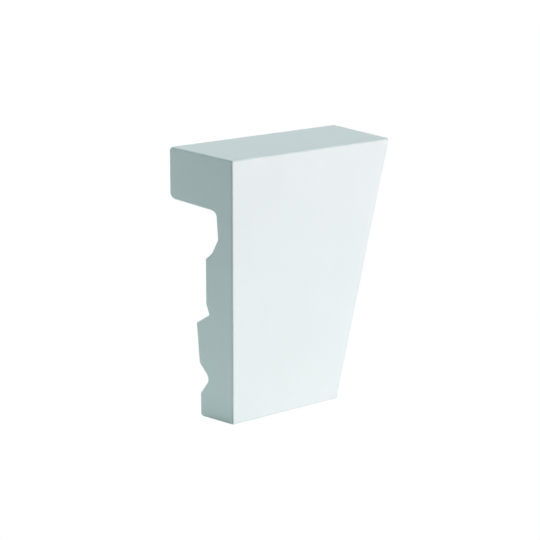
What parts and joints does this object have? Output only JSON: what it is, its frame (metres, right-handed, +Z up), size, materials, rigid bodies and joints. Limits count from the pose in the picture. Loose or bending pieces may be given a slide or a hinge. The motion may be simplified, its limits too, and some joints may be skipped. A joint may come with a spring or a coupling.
{
  "type": "keystone",
  "caption": "Wedge-shaped keystone with a plain flat front, a deep block across its head and a back shaped to sit over a moulded window or door surround.",
  "frame": {"origin": "on the underside of the foot, in the middle of the width and of the depth", "axes": "+Z up from the foot to the wider head, +Y from the front face back to the wall, X across the keystone"},
  "size_m": [0.2454, 0.07, 0.25],
  "materials": {
    "painted_foam": "matt white paint on moulded rigid foam"
  },
  "bodies": {
    "root": {"keystone": "painted_foam"}
  },
  "joints": []
}
